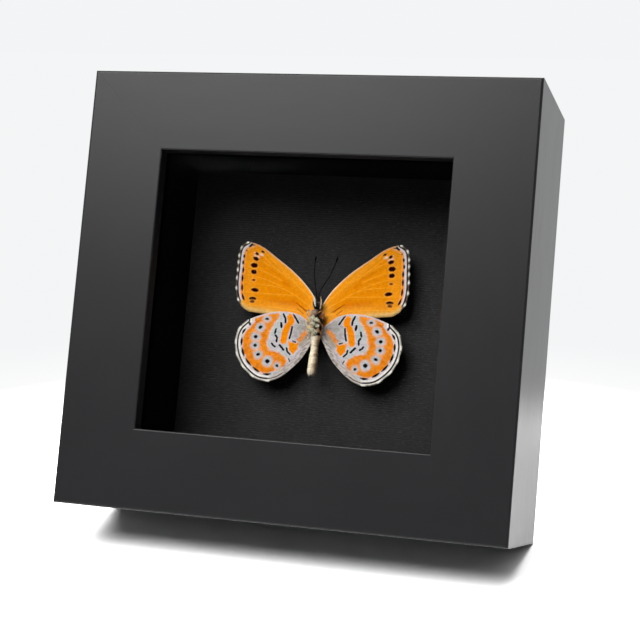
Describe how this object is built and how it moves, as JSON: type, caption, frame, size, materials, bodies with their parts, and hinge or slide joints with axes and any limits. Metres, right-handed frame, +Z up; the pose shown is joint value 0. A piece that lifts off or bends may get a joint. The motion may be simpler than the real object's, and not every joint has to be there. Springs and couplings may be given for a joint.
{
  "type": "butterfly display case",
  "caption": "Mitred black box frame with a glazed window, lined cavity and a spread orange butterfly, leaning on a folding easel strut.",
  "frame": {"origin": "middle of the footprint of the leaning case and its open strut, on the floor", "axes": "+Z up, the window faces -Y and leans back towards +Y, +X to the right seen from the front"},
  "size_m": [0.115, 0.0938, 0.119],
  "materials": {
    "frame_black": "satin",
    "liner_black": "matte",
    "glazing_clear": "polished",
    "paper_black": "matte",
    "foam_board": "matte",
    "panel_board": "matte",
    "plated_steel": "satin",
    "button_nickel": "satin",
    "wing_orange": "matte",
    "wing_patterned": "matte",
    "body_cream": "matte",
    "insect_dark": "matte"
  },
  "bodies": {
    "case": {"top_rail": "frame_black", "bottom_rail": "frame_black", "left_rail": "frame_black", "right_rail": "frame_black", "liner_top": "liner_black", "liner_bottom": "liner_black", "liner_left": "liner_black", "liner_right": "liner_black", "glazing": "glazing_clear", "backing_paper": "paper_black", "backing_board": "foam_board", "specimen_block": "foam_board", "rear_panel": "panel_board", "hinge_base_leaf": "plated_steel", "hinge_pin": "plated_steel", "panel_rivets": "plated_steel", "sawtooth_hanger": "plated_steel", "hanger_nails": "plated_steel", "corner_v_nails": "plated_steel", "turn_button_screws": "plated_steel", "forewing_left": "wing_orange", "forewing_right": "wing_orange", "hindwing_left": "wing_patterned", "hindwing_right": "wing_patterned", "thorax": "body_cream", "abdomen": "body_cream", "legs": "body_cream", "head": "insect_dark", "antennae": "insect_dark"},
    "strut": {"easel_strut": "panel_board", "hinge_strut_leaf": "plated_steel", "strut_rivets": "plated_steel"},
    "turn_button_lower_left": {"turn_button_lower_left": "button_nickel"},
    "turn_button_upper_left": {"turn_button_upper_left": "button_nickel"},
    "turn_button_lower_right": {"turn_button_lower_right": "button_nickel"},
    "turn_button_upper_right": {"turn_button_upper_right": "button_nickel"}
  },
  "joints": [
    {"name": "strut_fold", "type": "hinge", "parent": "case", "child": "strut", "pos_m": [0, 0.02268, 0.07468], "axis": [1, 0, 0], "range_deg": [-32, 0]},
    {"name": "turn_button_lower_left_turn", "type": "hinge", "parent": "case", "child": "turn_button_lower_left", "pos_m": [-0.0468, 0.00616, 0.02746], "axis": [0, 0.9537, -0.3007], "continuous": true},
    {"name": "turn_button_upper_left_turn", "type": "hinge", "parent": "case", "child": "turn_button_upper_left", "pos_m": [-0.0468, 0.0218, 0.07705], "axis": [0, 0.9537, -0.3007], "continuous": true},
    {"name": "turn_button_lower_right_turn", "type": "hinge", "parent": "case", "child": "turn_button_lower_right", "pos_m": [0.0468, 0.00616, 0.02746], "axis": [0, 0.9537, -0.3007], "continuous": true},
    {"name": "turn_button_upper_right_turn", "type": "hinge", "parent": "case", "child": "turn_button_upper_right", "pos_m": [0.0468, 0.0218, 0.07705], "axis": [0, 0.9537, -0.3007], "continuous": true}
  ]
}
